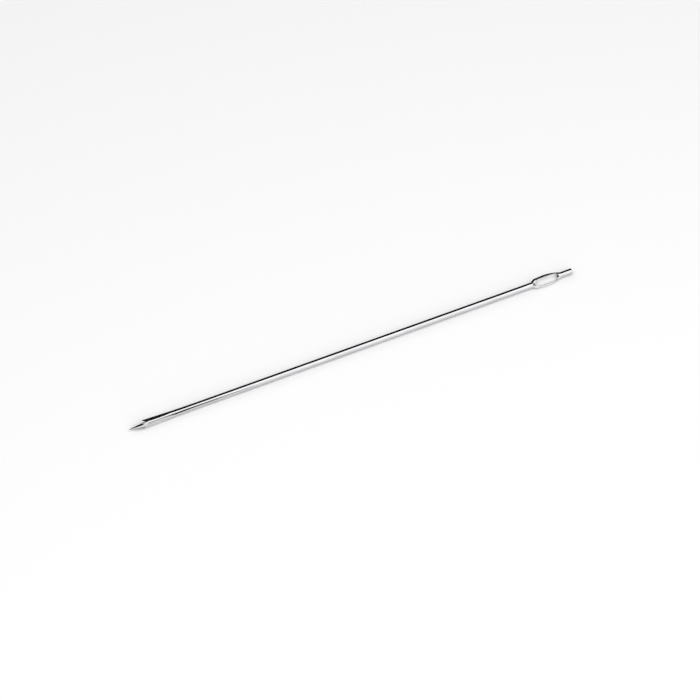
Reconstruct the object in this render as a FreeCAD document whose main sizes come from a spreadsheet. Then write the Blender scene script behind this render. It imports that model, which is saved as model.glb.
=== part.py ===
import FreeCAD, Part
import math
import os

# A straight trussing needle, forged and ground from one round steel rod. It is worked out
# lying along X with its point at x = 0 and its axis on the X axis, the blade and the eye
# both flat in the XY plane, and is then laid down on the surface z = 0 as it comes to rest.

doc = FreeCAD.newDocument("trussing_needle")

# Driving dimensions, in millimetres and degrees

SIZES = [
    ("overall_length", 200.0, "from the point to the square end of the tail"),
    ("shaft_diameter", 2.6, "round rod"),
    ("blade_length", 32.0, "from the point to where the forged swell ends"),
    ("blade_widest", 7.5, "from the point to the full width of the swell"),
    ("blade_width", 3.6, "width of the forged swell"),
    ("blade_thickness", 2.3, "thickness of the forged swell"),
    ("point_blunt", 0.03, "from the axis to each steep facet, at the point"),
    ("point_slope", 36.0, "tilt of a steep facet from the plane of the blade"),
    ("point_belly", 47.0, "radius to which a steep facet bellies out"),
    ("point_crest", 11.2, "from the point to where a steep facet would run level"),
    ("flat_slope", 41.0, "tilt of a long flat from the plane of the blade"),
    ("flat_middle", 12.0, "from the point to the deepest place of the long flats"),
    ("flat_spread", 2.2, "between opposite long flats, at their deepest"),
    ("wheel_radius", 150.0, "of the grinding wheel that hollows the long flats"),
    ("eye_length", 13.6, "from the shoulder before the eye to the neck behind it"),
    ("eye_width", 5.0, "across both strands"),
    ("eye_thickness", 1.5, "of the flattened loop"),
    ("hole_length", 9.7, "of the eye's hole, along the needle"),
    ("hole_width", 2.9, "of the eye's hole, between the strands"),
    ("hole_offset", 0.1, "of the hole's middle from the loop's, towards the tail"),
    ("hole_wall", 0.7, "straight height of the hole's wall, between its rims"),
    ("rim_slope", 45.0, "how far the countersunk rims lean away from the hole"),
    ("tail_length", 5.2, "from the neck to the square end"),
    ("neck_diameter", 2.45, "round tail, where it leaves the loop"),
    ("tail_diameter", 2.6, "round tail, at its end"),
    ("tail_chamfer", 0.15, "broken edge round the square end"),
]

sizes = doc.addObject("Spreadsheet::Sheet", "sizes")
for row, (alias, value, note) in enumerate(SIZES, start=1):
    sizes.set(f"A{row}", alias)
    sizes.set(f"B{row}", str(value))
    sizes.setAlias(f"B{row}", alias)
    sizes.set(f"C{row}", note)
doc.recompute()

# Formulas shared by several features. The cutters reach well clear of the blade.

SHAFT_RADIUS = "sizes.shaft_diameter / 2"
LOOP_HALF = "sizes.eye_thickness / 2"
NECK_AT = "(sizes.overall_length - sizes.tail_length)"
EYE_AT = f"({NECK_AT} - sizes.eye_length)"
HOLE_AT = f"{NECK_AT} - sizes.eye_length / 2 + sizes.hole_offset"
CLEAR = "(sizes.blade_width + sizes.shaft_diameter)"

ORIGIN = FreeCAD.Vector(0, 0, 0)
X_AXIS = FreeCAD.Vector(1, 0, 0)
Y_AXIS = FreeCAD.Vector(0, 1, 0)
Z_AXIS = FreeCAD.Vector(0, 0, 1)
UNTURNED = FreeCAD.Rotation()
ALONG_NEEDLE = FreeCAD.Rotation(FreeCAD.Vector(1, 1, 1), 120)
ACROSS_NEEDLE = FreeCAD.Rotation(X_AXIS, 90)


def feature(kind, name, turn, formulas):
    """A new part of the given kind, turned about the origin, its properties tied to formulas."""
    part = doc.addObject(kind, name)
    part.Placement = FreeCAD.Placement(ORIGIN, turn)
    for prop, formula in formulas.items():
        part.setExpression(prop, formula)
    return part


def upright_section(name, at, half_width, half_thickness):
    """An elliptical section across the needle, at a distance from the point."""
    return feature("Part::Ellipse", name, ALONG_NEEDLE, {
        "Placement.Base.x": at,
        "MajorRadius": half_width,
        "MinorRadius": half_thickness,
    })


def loft(name, sections):
    """A smooth solid through the sections, in order."""
    skin = doc.addObject("Part::Loft", name)
    skin.Sections = sections
    skin.Solid = True
    return skin


def taper(name, at, length, start_radius, end_radius):
    """A round, slightly tapered length of the needle that starts at a distance from the point."""
    return feature("Part::Cone", name, ALONG_NEEDLE, {
        "Placement.Base.x": at,
        "Height": length,
        "Radius1": start_radius,
        "Radius2": end_radius,
    })


def cut(name, base, tool):
    """The base with the tool's space taken out of it."""
    rest = doc.addObject("Part::Cut", name)
    rest.Base = base
    rest.Tool = tool
    return rest


def mirrored(name, source, normal):
    """A copy of the source on the other side of the needle's axis."""
    copy = doc.addObject("Part::Mirroring", name)
    copy.Source = source
    copy.Base = ORIGIN
    copy.Normal = normal
    return copy


def all_round(name, cutter):
    """The cutter and its three mirror images, one for each quarter of the blade."""
    beside = mirrored(f"{name}_beside", cutter, Y_AXIS)
    below = mirrored(f"{name}_below", cutter, Z_AXIS)
    across = mirrored(f"{name}_across", beside, Z_AXIS)
    return [cutter, beside, below, across]


# Forged swell of the blade: the rod's end is beaten wider than the rod and a little thinner,
# and the swell dies out towards the shaft as the square of the distance that is left.

SWELL_STATIONS = 6
swell_sections = []
for i in range(SWELL_STATIONS):
    done = i / (SWELL_STATIONS - 1)
    swell = f"({1 - done} * sizes.blade_length / (sizes.blade_length - sizes.blade_widest))^2"
    swell_sections.append(upright_section(
        f"swell_section_{i + 1}",
        f"{done} * sizes.blade_length",
        f"{SHAFT_RADIUS} + (sizes.blade_width - sizes.shaft_diameter) / 2 * {swell}",
        f"{SHAFT_RADIUS} - (sizes.shaft_diameter - sizes.blade_thickness) / 2 * {swell}",
    ))
blade_swell = loft("blade_swell", swell_sections)

# Round shaft, from the end of the swell to the eye's shoulder

shaft = feature("Part::Cylinder", "shaft", ALONG_NEEDLE, {
    "Placement.Base.x": "sizes.blade_length",
    "Radius": SHAFT_RADIUS,
    "Height": f"{EYE_AT} - sizes.blade_length",
})

# Flattened loop of the eye. Each station gives its place as a share of the loop's length,
# then how much of the full widening and of the full thinning is reached there.

LOOP_STATIONS = [
    (0.0, 0.0, 0.0),
    (0.07, 0.58, 0.5),
    (0.2, 0.84, 0.9),
    (0.43, 1.0, 1.0),
    (0.66, 0.85, 0.95),
    (0.86, 0.44, 0.6),
    (1.0, 0.0, 0.0),
]
loop_sections = []
for i, (share, widening, thinning) in enumerate(LOOP_STATIONS, start=1):
    radius = f"((1 - {share}) * sizes.shaft_diameter + {share} * sizes.neck_diameter) / 2"
    loop_sections.append(upright_section(
        f"loop_section_{i}",
        f"{EYE_AT} + {share} * sizes.eye_length",
        f"{radius} + {widening} * (sizes.eye_width / 2 - {radius})",
        f"{radius} - {thinning} * ({radius} - {LOOP_HALF})",
    ))
loop = loft("loop", loop_sections)

# Round tail behind the eye, opening slightly to its square end, with a broken edge

tail = taper(
    "tail",
    NECK_AT,
    "sizes.tail_length - sizes.tail_chamfer",
    "sizes.neck_diameter / 2",
    "sizes.tail_diameter / 2",
)
tail_edge = taper(
    "tail_edge",
    "sizes.overall_length - sizes.tail_chamfer",
    "sizes.tail_chamfer",
    "sizes.tail_diameter / 2",
    "sizes.tail_diameter / 2 - sizes.tail_chamfer",
)

forging = doc.addObject("Part::MultiFuse", "forging")
forging.Shapes = [blade_swell, shaft, loop, tail, tail_edge]

# Steep facets that bring the blade to its point. What is taken off one of them is a block
# less a large roll lying across the needle, so that the steel left bellies out. The roll
# passes just over the axis at the point. The cutter is made upright and tilted afterwards.

steep_block = feature("Part::Box", "steep_block", UNTURNED, {
    "Length": f"{CLEAR} + sizes.point_crest",
    "Width": f"2 * {CLEAR}",
    "Height": f"2 * {CLEAR}",
    "Placement.Base.x": f"-{CLEAR}",
    "Placement.Base.y": f"-{CLEAR}",
    "Placement.Base.z": f"-{CLEAR}",
})
steep_roll = feature("Part::Cylinder", "steep_roll", ACROSS_NEEDLE, {
    "Radius": "sizes.point_belly",
    "Height": f"4 * {CLEAR}",
    "Placement.Base.x": "sizes.point_crest",
    "Placement.Base.y": f"2 * {CLEAR}",
    "Placement.Base.z": "sizes.point_blunt - sqrt(sizes.point_belly^2 - sizes.point_crest^2)",
})
steep_cutter = cut("steep_cutter", steep_block, steep_roll)
steep_cutter.Placement = FreeCAD.Placement(ORIGIN, FreeCAD.Rotation(X_AXIS, -45))
steep_cutter.setExpression("Placement.Rotation.Angle", "-sizes.point_slope")

# Long flats behind them, hollowed by a grinding wheel whose axis lies across the needle and
# is tilted with the flat.

WHEEL_OUT = "(sizes.wheel_radius + sizes.flat_spread / 2)"
flat_wheel = feature("Part::Cylinder", "flat_wheel", ACROSS_NEEDLE, {
    "Radius": "sizes.wheel_radius",
    "Height": f"2 * {CLEAR}",
    "Placement.Rotation.Angle": "90 - sizes.flat_slope",
    "Placement.Base.x": "sizes.flat_middle",
    "Placement.Base.y": f"sin(sizes.flat_slope) * {WHEEL_OUT} + cos(sizes.flat_slope) * {CLEAR}",
    "Placement.Base.z": f"cos(sizes.flat_slope) * {WHEEL_OUT} - sin(sizes.flat_slope) * {CLEAR}",
})

# Hole of the eye: a slot with half-round ends. Its rims are countersunk, and where the rod is
# thicker, before and behind the loop, the countersink runs them out into gutters.

END_AT = "(sizes.hole_length - sizes.hole_width) / 2"
HOLE_RADIUS = "sizes.hole_width / 2"
RIM_FROM = "sizes.hole_wall / 2"
RIM_HEIGHT = f"({SHAFT_RADIUS} - {RIM_FROM})"
RIM_RADIUS = f"({HOLE_RADIUS} + {RIM_HEIGHT} * tan(sizes.rim_slope))"


def slot_end(name, side, turn):
    """The round end of the slot on one side of its middle, and the cone that opens its rim.

    Both are turned so that their seams fall in the open slot, off the steel.
    """
    place = {"Placement.Base.x": f"{HOLE_AT} {side} {END_AT}"}
    wall = feature("Part::Cylinder", f"{name}_wall", turn, place | {
        "Placement.Base.z": f"-{SHAFT_RADIUS}",
        "Radius": HOLE_RADIUS,
        "Height": "sizes.shaft_diameter",
    })
    rim = feature("Part::Cone", f"{name}_rim", turn, place | {
        "Placement.Base.z": RIM_FROM,
        "Radius1": HOLE_RADIUS,
        "Radius2": RIM_RADIUS,
        "Height": RIM_HEIGHT,
    })
    return wall, rim


front_wall, front_rim = slot_end("slot_front", "-", UNTURNED)
back_wall, back_rim = slot_end("slot_back", "+", FreeCAD.Rotation(Z_AXIS, 180))
slot_middle = feature("Part::Box", "slot_middle", UNTURNED, {
    "Placement.Base.x": f"{HOLE_AT} - {END_AT}",
    "Placement.Base.y": f"-{HOLE_RADIUS}",
    "Placement.Base.z": f"-{SHAFT_RADIUS}",
    "Length": f"2 * {END_AT}",
    "Width": "sizes.hole_width",
    "Height": "sizes.shaft_diameter",
})
middle_rim = feature("Part::Wedge", "slot_middle_rim", ACROSS_NEEDLE, {
    "Placement.Base.x": HOLE_AT,
    "Xmin": f"-{END_AT}",
    "X2min": f"-{END_AT}",
    "Xmax": END_AT,
    "X2max": END_AT,
    "Ymin": RIM_FROM,
    "Ymax": SHAFT_RADIUS,
    "Zmin": f"-{HOLE_RADIUS}",
    "Zmax": HOLE_RADIUS,
    "Z2min": f"-{RIM_RADIUS}",
    "Z2max": RIM_RADIUS,
})
rim = doc.addObject("Part::MultiFuse", "rim")
rim.Shapes = [front_rim, middle_rim, back_rim]
hole = doc.addObject("Part::MultiFuse", "hole")
hole.Shapes = [front_wall, slot_middle, back_wall, rim, mirrored("rim_below", rim, Z_AXIS)]

# Every cut in turn, the last one giving the finished needle

cuts = []
steel = forging
for cutter in all_round("steep", steep_cutter) + all_round("flat", flat_wheel) + [hole]:
    steel = cut(f"needle_less_{cutter.Name}", steel, cutter)
    cuts.append(steel)

# The needle lies still when it has rolled so far that the eye's near strand meets the
# surface, while the shaft still lies along it.

needle = steel
needle.Label = "needle"
needle.Placement = FreeCAD.Placement(ORIGIN, FreeCAD.Rotation(X_AXIS, 45))
ROLL = (
    f"asin(sqrt((({SHAFT_RADIUS})^2 - ({LOOP_HALF})^2)"
    f" / ((sizes.eye_width / 2)^2 - ({LOOP_HALF})^2)))"
)
needle.setExpression("Placement.Rotation.Angle", ROLL)
needle.setExpression("Placement.Base.x", "-sizes.overall_length / 2")
needle.setExpression("Placement.Base.z", SHAFT_RADIUS)
doc.recompute()

# Checks before the part is written

for item in doc.Objects:
    if "Invalid" in item.State or "Error" in item.State:
        raise SystemExit(f"{item.Name} did not build: {item.State}")
    if hasattr(item, "Shape") and (item.Shape.isNull() or not item.Shape.isValid()):
        raise SystemExit(f"{item.Name} has no sound shape")
for step in cuts:
    if not step.Shape.Volume < step.Base.Shape.Volume:
        raise SystemExit(f"{step.Name} takes nothing off")
if len(needle.Shape.Solids) != 1:
    raise SystemExit(f"needle is {len(needle.Shape.Solids)} solids")

os.makedirs("parts", exist_ok=True)
needle.Shape.exportStep("parts/needle.step")
box = needle.Shape.optimalBoundingBox(False)
print(
    f"needle {box.XLength:.3f} x {box.YLength:.3f} x {box.ZLength:.3f} mm,"
    f" lowest {box.ZMin:.4f}, volume {needle.Shape.Volume:.2f} mm3,"
    f" rolled {math.degrees(needle.Placement.Rotation.Angle):.3f} degrees"
)
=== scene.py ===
import math

import bpy
import numpy as np
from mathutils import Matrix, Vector


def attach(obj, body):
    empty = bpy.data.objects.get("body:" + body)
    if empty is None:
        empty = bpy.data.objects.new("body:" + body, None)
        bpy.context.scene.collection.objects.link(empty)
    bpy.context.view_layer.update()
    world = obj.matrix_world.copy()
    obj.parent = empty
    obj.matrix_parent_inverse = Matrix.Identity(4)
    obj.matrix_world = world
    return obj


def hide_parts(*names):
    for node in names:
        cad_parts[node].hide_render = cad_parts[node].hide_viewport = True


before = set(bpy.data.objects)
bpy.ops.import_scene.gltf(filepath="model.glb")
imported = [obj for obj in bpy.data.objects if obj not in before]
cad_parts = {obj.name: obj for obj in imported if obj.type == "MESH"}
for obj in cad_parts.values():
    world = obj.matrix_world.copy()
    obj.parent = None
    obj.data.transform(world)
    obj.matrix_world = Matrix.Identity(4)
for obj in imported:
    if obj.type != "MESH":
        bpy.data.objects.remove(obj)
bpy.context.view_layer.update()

# The needle
# One piece of round stainless steel rod, beaten out and ground to a lance point at one end,
# pressed flat and punched with a long eye near the other, then polished all over.

# Its sizes are in millimetres, and places along it are distances from the point.
MM = 0.001
LENGTH = 200.0
SHAFT_RADIUS = 1.3
BLADE_LENGTH = 32.0
BLADE_WIDEST = 7.5
SWELL_OUT = 0.5
SWELL_IN = 0.15
EYE_START = 181.2
EYE_LENGTH = 13.6
EYE_HALF_WIDTH = 2.5
EYE_HALF_THICKNESS = 0.75
LOOP_STATIONS = np.array([0.0, 0.07, 0.2, 0.43, 0.66, 0.86, 1.0])
LOOP_WIDENING = np.array([0.0, 0.58, 0.84, 1.0, 0.85, 0.44, 0.0])
LOOP_THINNING = np.array([0.0, 0.5, 0.9, 1.0, 0.95, 0.6, 0.0])
NECK_RADIUS = 1.225
TAIL_CHAMFER = 0.15


def smooth_curve(at, knots, values):
    """Natural cubic spline: the smoothest curve through the knots, straight at both ends."""
    gaps = np.diff(knots)
    slopes = np.diff(values) / gaps
    bends = np.zeros(len(knots))
    rows = np.diag(2 * (gaps[:-1] + gaps[1:])) + np.diag(gaps[1:-1], 1) + np.diag(gaps[1:-1], -1)
    bends[1:-1] = np.linalg.solve(rows, 6 * np.diff(slopes))
    span = np.clip(np.searchsorted(knots, at) - 1, 0, len(gaps) - 1)
    before = at - knots[span]
    after = knots[span + 1] - at
    gap = gaps[span]
    cubic = (bends[span] * after**3 + bends[span + 1] * before**3) / (6 * gap)
    left = (values[span] / gap - bends[span] * gap / 6) * after
    right = (values[span + 1] / gap - bends[span + 1] * gap / 6) * before
    return cubic + left + right


def rod_outline(x):
    """Half width and half thickness of the unground steel at each distance from the point.

    The blade's swell dies out as the square of the distance left to the shaft. The eye's loop
    widens and thins along smooth curves through seven stations, and the tail opens evenly.
    """
    swell = (np.clip(BLADE_LENGTH - x, 0, None) / (BLADE_LENGTH - BLADE_WIDEST)) ** 2
    half_width = SHAFT_RADIUS + SWELL_OUT * swell
    half_thickness = SHAFT_RADIUS - SWELL_IN * swell

    share = (x - EYE_START) / EYE_LENGTH
    radius = (1 - LOOP_STATIONS) * SHAFT_RADIUS + LOOP_STATIONS * NECK_RADIUS
    loop = (share > 0) & (share <= 1)
    stations_wide = radius + LOOP_WIDENING * (EYE_HALF_WIDTH - radius)
    stations_thin = radius - LOOP_THINNING * (radius - EYE_HALF_THICKNESS)
    wide = smooth_curve(share, LOOP_STATIONS, stations_wide)
    thin = smooth_curve(share, LOOP_STATIONS, stations_thin)
    half_width = np.where(loop, wide, half_width)
    half_thickness = np.where(loop, thin, half_thickness)

    neck = EYE_START + EYE_LENGTH
    edge = LENGTH - TAIL_CHAMFER
    opening = (x - neck) / (edge - neck)
    cone = NECK_RADIUS + opening * (SHAFT_RADIUS - NECK_RADIUS)
    broken = SHAFT_RADIUS - (x - edge)
    tail = np.where(x > edge, broken, cone)
    half_width = np.where(x > neck, tail, half_width)
    half_thickness = np.where(x > neck, tail, half_thickness)
    return half_width, half_thickness


# Four steep facets ground on a large roll meet at the point, and four long flats ground on a
# wheel's rim run back from them. The ridge's rounding is a share of the facets' reach.
POINT_BLUNT = 0.03
POINT_SLOPE = math.radians(36)
POINT_BELLY = 47.0
POINT_CREST = 11.2
RIDGE_ROUNDING = 0.4
FLAT_SLOPE = math.radians(41)
FLAT_MIDDLE = 12.0
FLAT_OUT = 1.1
FLAT_END = 20.5
WHEEL_RADIUS = 150.0


def facet_reach(x):
    """How far each kind of facet lies from the axis, at each distance from the point.

    A steep facet follows a large roll that passes just over the axis at the point, and past
    the roll's crest it cuts nothing. A long flat follows the rim of the grinding wheel, deepest
    at its middle.
    """
    roll = np.sqrt(POINT_BELLY**2 - (np.clip(x, 0, POINT_CREST) - POINT_CREST) ** 2)
    steep = POINT_BLUNT + roll - math.sqrt(POINT_BELLY**2 - POINT_CREST**2)
    steep = np.where(x < POINT_CREST, steep, LENGTH)
    near = np.clip(np.abs(x - FLAT_MIDDLE), 0, BLADE_LENGTH)
    flat = FLAT_OUT + WHEEL_RADIUS - np.sqrt(WHEEL_RADIUS**2 - near**2)
    return steep, flat


def rounded_ridge(reach, turn):
    """Distance to the steep facets in each direction from the axis, with their ridge rounded.

    The section is a hyperbola that has the two facets as its asymptotes. It passes below the
    sharp ridge by the facets' fall over the rounding, which is a share of the reach.
    """
    ridge = reach / math.cos(POINT_SLOPE)
    fall = math.tan(POINT_SLOPE)
    rest = ridge**2 - (fall * RIDGE_ROUNDING * reach) ** 2
    steepness = (fall * np.cos(turn)) ** 2 - np.sin(turn) ** 2
    upward = ridge * np.sin(turn)
    return rest / (upward + np.sqrt(upward**2 + steepness * rest))


def facet_span(half_width, half_thickness, reach, slope):
    """The two directions, from the cutting edge, between which a facet cuts the ellipse."""
    across = half_width * math.sin(slope)
    upward = half_thickness * math.cos(slope)
    middle = np.arctan2(upward, across)
    opening = np.arccos(np.clip(reach / np.hypot(across, upward), -1, 1))

    def direction(turn):
        return np.arctan2(half_thickness * np.sin(turn), half_width * np.cos(turn))

    return direction(middle - opening), direction(middle + opening)


# Steps round a quarter of the needle, and gaps between the rings on the blade, which are close
# where the steep facets meet and where the flats fade out. Up to the ridge's end the land's
# steps cover the softened ridge, from the ridge's share of the quarter turn up.
BAND_STEPS = 10
FACET_STEPS = 16
LAND_STEPS = 14
QUARTER_STEPS = BAND_STEPS + FACET_STEPS + LAND_STEPS
CLOSE_RINGS = 0.1
OPEN_RINGS = 0.3
STEEP_END = 8.0
FADE_START = 17.0
SWELL_RINGS = 16
ROD_RINGS = 24
LOOP_RINGS = 96
TAIL_RINGS = 8
RIDGE_SHARE = 0.72
RIDGE_END = 5.0
RIDGE_FADE = 2.0
LEAST_RUN = math.radians(0.5)


def ring_places():
    """Distances of the rings from the point: even steps in each stretch, joined end to end."""
    neck = EYE_START + EYE_LENGTH
    return np.concatenate([
        np.arange(0, STEEP_END, CLOSE_RINGS),
        np.arange(STEEP_END, FADE_START, OPEN_RINGS),
        np.arange(FADE_START, FLAT_END, CLOSE_RINGS),
        np.linspace(FLAT_END, BLADE_LENGTH, SWELL_RINGS)[:-1],
        np.linspace(BLADE_LENGTH, EYE_START, ROD_RINGS)[:-1],
        np.linspace(EYE_START, neck, LOOP_RINGS)[:-1],
        np.linspace(neck, LENGTH - TAIL_CHAMFER, TAIL_RINGS),
        [LENGTH],
    ])


def needle_skin():
    """Rings of points along the needle: the steel's ellipse, cut back by the nearest facet.

    Each quarter ring has its points in three runs, on the edge band, the facet and the land,
    so that the lines between them lie on the ground edges. Past the end of the flats the runs
    settle into one even quarter turn.
    """
    x = ring_places()
    half_width, half_thickness = rod_outline(x)
    steep, flat = facet_reach(x)
    quarter = math.pi / 2
    low_flat, high_flat = facet_span(half_width, half_thickness, flat, FLAT_SLOPE)
    low_steep, high_steep = facet_span(half_width, half_thickness, steep, POINT_SLOPE)
    middle = (low_flat + high_flat) / 2
    ridge = quarter * RIDGE_SHARE
    low = np.clip(np.minimum(low_flat, low_steep), LEAST_RUN, middle - LEAST_RUN)
    high = np.clip(np.maximum(high_flat, high_steep), middle + LEAST_RUN, quarter - LEAST_RUN)
    high = ridge + np.clip((x - RIDGE_END) / RIDGE_FADE, 0, 1) * (high - ridge)
    settle = np.clip((x - FLAT_END) / (BLADE_LENGTH - FLAT_END), 0, 1)
    low = low + settle * (quarter * BAND_STEPS / QUARTER_STEPS - low)
    high = high + settle * (quarter * (BAND_STEPS + FACET_STEPS) / QUARTER_STEPS - high)
    step = np.arange(QUARTER_STEPS + 1)
    places = np.stack([np.zeros_like(x), low, high, np.full_like(x, quarter)])
    counts = [0, BAND_STEPS, BAND_STEPS + FACET_STEPS, QUARTER_STEPS]
    run = np.clip(np.searchsorted(counts, step, side="right") - 1, 0, 2)
    done = (step - np.take(counts, run)) / np.take(np.diff(counts), run)
    turn = (places[run] + done[:, None] * (places[run + 1] - places[run])).T

    wide = half_width[:, None]
    thick = half_thickness[:, None]
    ellipse = wide * thick / np.hypot(thick * np.cos(turn), wide * np.sin(turn))
    over_flat = flat[:, None] / np.cos(turn - (quarter - FLAT_SLOPE))
    over_steep = rounded_ridge(steep[:, None], turn)
    blade = np.minimum(np.minimum(ellipse, over_flat), over_steep)
    even = quarter * step / QUARTER_STEPS
    on_blade = x[:, None] < BLADE_LENGTH
    y = np.where(on_blade, blade * np.cos(turn), wide * np.cos(even))
    z = np.where(on_blade, blade * np.sin(turn), thick * np.sin(even))

    ring_y = np.concatenate([y[:, :-1], -y[:, :0:-1], -y[:, :-1], y[:, :0:-1]], axis=1)
    ring_z = np.concatenate([z[:, :-1], z[:, :0:-1], -z[:, :-1], -z[:, :0:-1]], axis=1)
    ring_x = np.broadcast_to(x[:, None], ring_y.shape)
    return np.stack([ring_x, ring_y, ring_z], axis=-1)


# The punched slot lies between two half-round ends and opens towards both of its rims.
HOLE_AT = 188.1
HOLE_RADIUS = 1.45
HOLE_END = 3.4
RIM_START = 0.35
RIM_SOFTNESS = 0.12
CUT_HEIGHT = 1.6
HOLE_RINGS = 65
HOLE_STEPS = 128


def hole_skin():
    """Rings of points up the eye's hole: a slot with half-round ends, opened at both rims.

    The slot's radius grows with height along a softened 45 degree line, the half sum of the
    height past the straight wall and that height's distance from a small rounding.
    """
    z = np.linspace(-CUT_HEIGHT, CUT_HEIGHT, HOLE_RINGS)
    past = np.abs(z) - RIM_START
    radius = HOLE_RADIUS + (past + np.hypot(past, RIM_SOFTNESS)) / 2
    radius = radius - (np.hypot(RIM_START, RIM_SOFTNESS) - RIM_START) / 2
    turn = np.linspace(0, 2 * math.pi, HOLE_STEPS, endpoint=False) + math.pi / HOLE_STEPS
    side = np.where(np.cos(turn) > 0, HOLE_END, -HOLE_END)
    ring_x = HOLE_AT + side + radius[:, None] * np.cos(turn)
    ring_y = radius[:, None] * np.sin(turn)
    ring_z = np.broadcast_to(z[:, None], ring_x.shape)
    return np.stack([ring_x, ring_y, ring_z], axis=-1)


def closed_skin(name, rings):
    """A closed mesh over a grid of rings: four-sided faces, and a fan round a pole at each end."""
    count, around = rings.shape[:2]
    first = np.arange(around)
    after = (first + 1) % around
    row = np.arange(count - 1)[:, None] * around
    sides = np.stack([row + first, row + after, row + around + after, row + around + first], axis=-1)
    poles = np.stack([rings[0].mean(axis=0), rings[-1].mean(axis=0)])
    start, end = count * around, count * around + 1
    last = (count - 1) * around
    start_fan = np.stack([np.full(around, start), after, first], axis=-1)
    end_fan = np.stack([np.full(around, end), last + first, last + after], axis=-1)
    points = np.concatenate([rings.reshape(-1, 3), poles])
    faces = sides.reshape(-1, 4).tolist() + start_fan.tolist() + end_fan.tolist()
    mesh = bpy.data.meshes.new(name)
    mesh.from_pydata(points, [], faces)
    mesh.update()
    piece = bpy.data.objects.new(name, mesh)
    bpy.context.scene.collection.objects.link(piece)
    return piece


needle = closed_skin("trussing_needle", needle_skin())
hole = closed_skin("eye_hole", hole_skin())
punch = needle.modifiers.new("punch", "BOOLEAN")
punch.operation = "DIFFERENCE"
punch.solver = "EXACT"
punch.object = hole
depsgraph = bpy.context.evaluated_depsgraph_get()
punched = bpy.data.meshes.new_from_object(needle.evaluated_get(depsgraph))
needle.modifiers.clear()
needle.data = punched
bpy.data.objects.remove(hole)

# Ground edges stay crisp, and the polished rest runs smooth. An edge is sharp where the faces
# beside it lean apart by more than the limit, which is finer on the blade than on the eye.

BLADE_LIMIT = math.radians(8)
EYE_LIMIT = math.radians(28)


def mark_sharp_edges(mesh):
    """Compares the normals of each edge's two faces, found by sorting the corners by edge."""
    corner_edge = np.empty(len(mesh.loops), dtype=np.int32)
    mesh.loops.foreach_get("edge_index", corner_edge)
    corners = np.empty(len(mesh.polygons), dtype=np.int32)
    mesh.polygons.foreach_get("loop_total", corners)
    normals = np.empty(len(mesh.polygons) * 3)
    mesh.polygons.foreach_get("normal", normals)
    corner_face = np.repeat(np.arange(len(corners)), corners)
    order = np.argsort(corner_edge, kind="stable")
    pairs = corner_face[order].reshape(-1, 2)
    normals = normals.reshape(-1, 3)
    lean = np.arccos(np.clip((normals[pairs[:, 0]] * normals[pairs[:, 1]]).sum(axis=1), -1, 1))
    points = np.empty(len(mesh.vertices) * 3)
    mesh.vertices.foreach_get("co", points)
    ends = np.empty(len(mesh.edges) * 2, dtype=np.int32)
    mesh.edges.foreach_get("vertices", ends)
    along = points[::3][ends.reshape(-1, 2)].mean(axis=1)
    limit = np.where(along < BLADE_LENGTH, BLADE_LIMIT, EYE_LIMIT)
    sharp = mesh.attributes.new("sharp_edge", "BOOLEAN", "EDGE")
    sharp.data.foreach_set("value", lean > limit)
    mesh.shade_smooth()


mark_sharp_edges(needle.data)

# It is laid on the surface, rolled until the eye's near strand meets it too.

ROLL = math.asin(math.sqrt(
    (SHAFT_RADIUS**2 - EYE_HALF_THICKNESS**2) / (EYE_HALF_WIDTH**2 - EYE_HALF_THICKNESS**2)
))


def lay_down(mesh):
    """Turns the points about the needle's axis by the roll, then centres and lifts them."""
    points = np.empty(len(mesh.vertices) * 3)
    mesh.vertices.foreach_get("co", points)
    x, y, z = points.reshape(-1, 3).T
    laid = np.stack([
        x - LENGTH / 2,
        y * math.cos(ROLL) - z * math.sin(ROLL),
        y * math.sin(ROLL) + z * math.cos(ROLL) + SHAFT_RADIUS,
    ], axis=-1)
    mesh.vertices.foreach_set("co", (laid * MM).ravel())
    mesh.update()


lay_down(needle.data)


def linear(hex_colour):
    """An sRGB hex colour as linear red, green, blue and alpha."""
    parts = [int(hex_colour[i:i + 2], 16) / 255 for i in (1, 3, 5)]
    return [p / 12.92 if p <= 0.04045 else ((p + 0.055) / 1.055) ** 2.4 for p in parts] + [1.0]


def add(tree, kind, settings=None, links=None):
    """A node of the given kind, with its settings and the sockets that feed it."""
    node = tree.nodes.new(kind)
    for name, value in (settings or {}).items():
        if name in node.inputs:
            node.inputs[name].default_value = value
        else:
            setattr(node, name, value)
    for name, source in (links or {}).items():
        tree.links.new(source, node.inputs[name])
    return node


def new_material(name):
    """A node material with its default nodes taken out."""
    material = bpy.data.materials.new(name)
    material.use_nodes = True
    material.node_tree.nodes.clear()
    return material


# Polished stainless steel. The rod keeps faint drawing lines along its length, the blade has
# the wheel's fine scratches across it, and the pressed eye is very slightly uneven. Drawing
# lines and scratches are really about 0.03 mm apart. They are drawn at 0.15 and 0.25 mm, coarse
# enough to show, and stretched along their own direction. The scratches fade out where the
# flats do, between the two places named for the ground steel.

STEEL_LIGHT = "#d7d7d9"
STEEL_DARK = "#bfbfc1"
EDGE_TINT = "#cfcfd0"
DRAWING_LINES = 1 / (0.15 * MM)
GRINDING_LINES = 1 / (0.25 * MM)
PRESSED_UNEVENNESS = 1 / (1.8 * MM)
CLOUDS = 1 / (6 * MM)
DRAWN_OUT = 0.01
GROUND_OUT = 0.04
GROUND_FULL = 17
GROUND_NONE = 23
PRESS_FADE = 1
SMOOTHEST = 0.05
ROUGHEST = 0.12

# Places of a Mix node's colour sockets, which share their names with its other sockets.
COLOUR_A = 6
COLOUR_B = 7
COLOUR_RESULT = 2

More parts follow.
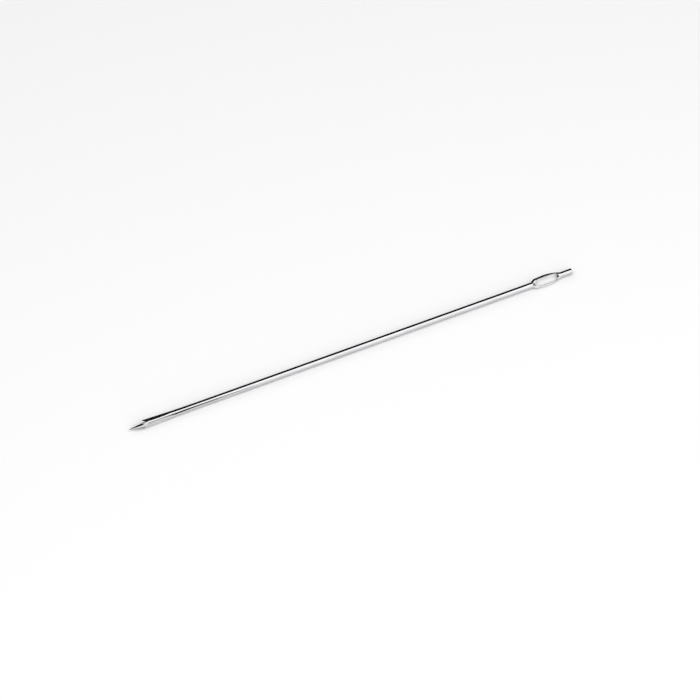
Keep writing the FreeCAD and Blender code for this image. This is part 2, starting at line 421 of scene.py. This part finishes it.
steel = new_material("polished_stainless_steel")
tree = steel.node_tree
place = add(tree, "ShaderNodeTexCoord").outputs["Object"]
apart = add(tree, "ShaderNodeSeparateXYZ", links={"Vector": place})
ground = add(tree, "ShaderNodeMapRange", {
    "From Min": (GROUND_NONE - LENGTH / 2) * MM,
    "From Max": (GROUND_FULL - LENGTH / 2) * MM,
}, {"Value": apart.outputs["X"]})
pressed = add(tree, "ShaderNodeMapRange", {
    "From Min": (EYE_START - PRESS_FADE - LENGTH / 2) * MM,
    "From Max": (EYE_START + PRESS_FADE - LENGTH / 2) * MM,
}, {"Value": apart.outputs["X"]})
along = add(tree, "ShaderNodeMapping", {"Scale": (DRAWN_OUT, 1, 1)}, {"Vector": place})
across = add(tree, "ShaderNodeMapping", {"Scale": (1, GROUND_OUT, GROUND_OUT)}, {"Vector": place})
drawn = add(tree, "ShaderNodeTexNoise", {
    "Scale": DRAWING_LINES, "Detail": 3.0, "Roughness": 0.6,
}, {"Vector": along.outputs["Vector"]})
scratched = add(tree, "ShaderNodeTexNoise", {
    "Scale": GRINDING_LINES, "Detail": 4.0, "Roughness": 0.65,
}, {"Vector": across.outputs["Vector"]})
uneven = add(tree, "ShaderNodeTexNoise", {
    "Scale": PRESSED_UNEVENNESS, "Detail": 1.0, "Roughness": 0.4,
}, {"Vector": place})
clouds = add(tree, "ShaderNodeTexNoise", {
    "Scale": CLOUDS, "Detail": 3.0, "Roughness": 0.55,
}, {"Vector": place})
lines = add(tree, "ShaderNodeMix", {"data_type": "FLOAT"}, {
    "Factor": ground.outputs["Result"],
    "A": drawn.outputs["Fac"],
    "B": scratched.outputs["Fac"],
})
colour = add(tree, "ShaderNodeMix", {"data_type": "RGBA"}, {"Factor": clouds.outputs["Fac"]})
colour.inputs[COLOUR_A].default_value = linear(STEEL_DARK)
colour.inputs[COLOUR_B].default_value = linear(STEEL_LIGHT)
roughness = add(tree, "ShaderNodeMapRange", {
    "From Min": 0.3, "From Max": 0.7, "To Min": SMOOTHEST, "To Max": ROUGHEST,
}, {"Value": lines.outputs["Result"]})
line_bump = add(tree, "ShaderNodeBump", {
    "Strength": 0.12, "Distance": 0.02 * MM,
}, {"Height": lines.outputs["Result"]})
press_height = add(tree, "ShaderNodeMath", {"operation": "MULTIPLY"}, {
    0: pressed.outputs["Result"],
    1: uneven.outputs["Fac"],
})
bump = add(tree, "ShaderNodeBump", {
    "Strength": 0.35, "Distance": 0.12 * MM,
}, {"Height": press_height.outputs["Value"], "Normal": line_bump.outputs["Normal"]})
shader = add(tree, "ShaderNodeBsdfPrincipled", {
    "Metallic": 1.0, "Specular Tint": linear(EDGE_TINT),
}, {
    "Base Color": colour.outputs[COLOUR_RESULT],
    "Roughness": roughness.outputs["Result"],
    "Normal": bump.outputs["Normal"],
})
add(tree, "ShaderNodeOutputMaterial", links={"Surface": shader.outputs["BSDF"]})
needle.data.materials.append(steel)
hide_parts("needle")
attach(needle, "root")

# The surface it lies on
# A wide sheet of plain white studio paper, matt, with a very faint tooth.

FLOOR_HALF = 4.0
FLOOR_DROP = 0.01 * MM
PAPER = "#fdfdfd"
PAPER_TOOTH = 1 / (1.5 * MM)

sheet_corners = [
    (sx * FLOOR_HALF, sy * FLOOR_HALF, -FLOOR_DROP)
    for sx, sy in ((-1, -1), (1, -1), (1, 1), (-1, 1))
]
floor_mesh = bpy.data.meshes.new("paper_sheet")
floor_mesh.from_pydata(sheet_corners, [], [(0, 1, 2, 3)])
floor = bpy.data.objects.new("paper_sheet", floor_mesh)
bpy.context.scene.collection.objects.link(floor)
paper = new_material("matt_studio_paper")
tree = paper.node_tree
tooth = add(tree, "ShaderNodeTexNoise", {"Scale": PAPER_TOOTH, "Detail": 2.0}, {
    "Vector": add(tree, "ShaderNodeTexCoord").outputs["Object"],
})
tooth_bump = add(tree, "ShaderNodeBump", {
    "Strength": 0.1, "Distance": 0.05 * MM,
}, {"Height": tooth.outputs["Fac"]})
matt = add(tree, "ShaderNodeBsdfDiffuse", {"Color": linear(PAPER)}, {
    "Normal": tooth_bump.outputs["Normal"],
})
add(tree, "ShaderNodeOutputMaterial", links={"Surface": matt.outputs["BSDF"]})
floor_mesh.materials.append(paper)

# Studio light
# A broad soft box overhead, a low one in front and one behind, in an even pale room. Black
# felt cards that only reflections see draw the dark lines that polished steel shows; all stand out of the
# picture but the floor card, which is a painted dark reflection.

# Each soft box has its place, the point that it faces, its size and its brightness.
SOFT_BOXES = {
    "overhead_soft_box": ((0.0, -0.33, 0.9), (0.0, -0.33, 0), (1.8, 1.13), 1.2),
    "front_soft_box": ((0.1, -1.3, 0.55), (0, 0, 0), (2.0, 1.0), 0.93),
    "back_soft_box": ((-0.3, 1.0, 0.75), (0, 0, 0), (1.6, 0.5), 0.93),
}
ROOM_BRIGHTNESS = 0.4


def soft_box(name, place, aim, size, brightness):
    """A rectangular lamp whose face has the given brightness, 1 being a white surface's."""
    lamp = bpy.data.lights.new(name, "AREA")
    lamp.shape = "RECTANGLE"
    lamp.size, lamp.size_y = size
    lamp.energy = brightness * math.pi * size[0] * size[1]
    box = bpy.data.objects.new(name, lamp)
    box.location = place
    box.rotation_euler = (Vector(aim) - Vector(place)).to_track_quat("-Z", "Y").to_euler()
    box.visible_camera = False
    bpy.context.scene.collection.objects.link(box)


for name, (place, aim, size, brightness) in SOFT_BOXES.items():
    soft_box(name, place, aim, size, brightness)

world = bpy.data.worlds.new("pale_room")
world.use_nodes = True
world.node_tree.nodes["Background"].inputs["Color"].default_value = linear("#ffffff")
world.node_tree.nodes["Background"].inputs["Strength"].default_value = ROOM_BRIGHTNESS
bpy.context.scene.world = world

# The back and floor cards draw the black line along the top of the rod, and the front flag the
# thin line that runs back from the blade. The boom card and the left flag darken the ridge at
# the point, and the left card the rear end of the eye.
FELT = "#0a0a0a"
BACK_Y = 0.35
FLOOR_CARD_Z = 0.0002
BOOM_Z = 0.85
LEFT_X = -0.9
CARDS = {
    "back_card": [(-0.09, BACK_Y, 0), (0.35, BACK_Y, 0), (0.45, 0.17, 0.85), (-0.09, 0.17, 0.85)],
    # The floor card lies flat on the paper just behind the needle, inside the picture. Only the steel's
    # reflections see it: it is a painted dark reflection of the paper along the rod's top edge.
    "floor_card": [
        (-0.12, 0.006, FLOOR_CARD_Z),
        (0.12, 0.006, FLOOR_CARD_Z),
        (0.35, BACK_Y, FLOOR_CARD_Z),
        (-0.09, BACK_Y, FLOOR_CARD_Z),
    ],
    "front_flag": [(0.0, -0.9, 0.15), (0.108, -0.789, 0.33), (0.067, -0.45, 0.88), (-0.03, -0.45, 0.88)],
    "boom_card": [(-0.6, -0.8, BOOM_Z), (-0.15, -0.8, BOOM_Z), (-0.15, 0.6, BOOM_Z), (-0.6, 0.6, BOOM_Z)],
    "left_card": [(LEFT_X, -0.3, 0), (LEFT_X, 0.3, 0), (LEFT_X, 0.3, 0.5), (LEFT_X, -0.3, 0.5)],
    "left_flag": [(-0.72, -0.9, 0.3), (-0.17, -0.9, 0.3), (-0.17, -0.8, 0.85), (-0.72, -0.8, 0.85)],
}

felt = new_material("black_felt")
tree = felt.node_tree
cloth = add(tree, "ShaderNodeBsdfDiffuse", {"Color": linear(FELT)})
add(tree, "ShaderNodeOutputMaterial", links={"Surface": cloth.outputs["BSDF"]})


def black_card(name, corners):
    """A four-cornered card that only the steel's reflections see."""
    mesh = bpy.data.meshes.new(name)
    mesh.from_pydata(corners, [], [(0, 1, 2, 3)])
    mesh.materials.append(felt)
    card = bpy.data.objects.new(name, mesh)
    card.visible_camera = False
    card.visible_diffuse = False
    card.visible_shadow = False
    bpy.context.scene.collection.objects.link(card)


for name, corners in CARDS.items():
    black_card(name, corners)

# Camera
# Above and in front, on the point's side, so that the needle rises to the right.

CAMERA_TURN = math.radians(-23.62)
CAMERA_RISE = math.radians(55)
CAMERA_DISTANCE = 0.8
AIM = (-0.0028, 0.0002, 0.0013)
VIEW_ANGLE = math.radians(20.51)

camera_data = bpy.data.cameras.new("camera")
camera_data.angle = VIEW_ANGLE
camera = bpy.data.objects.new("camera", camera_data)
towards = Vector((
    math.sin(CAMERA_TURN) * math.cos(CAMERA_RISE),
    -math.cos(CAMERA_TURN) * math.cos(CAMERA_RISE),
    math.sin(CAMERA_RISE),
))
camera.location = Vector(AIM) + CAMERA_DISTANCE * towards
camera.rotation_euler = (-towards).to_track_quat("-Z", "Y").to_euler()
bpy.context.scene.collection.objects.link(camera)
bpy.context.scene.camera = camera
bpy.context.scene.view_settings.view_transform = "Standard"
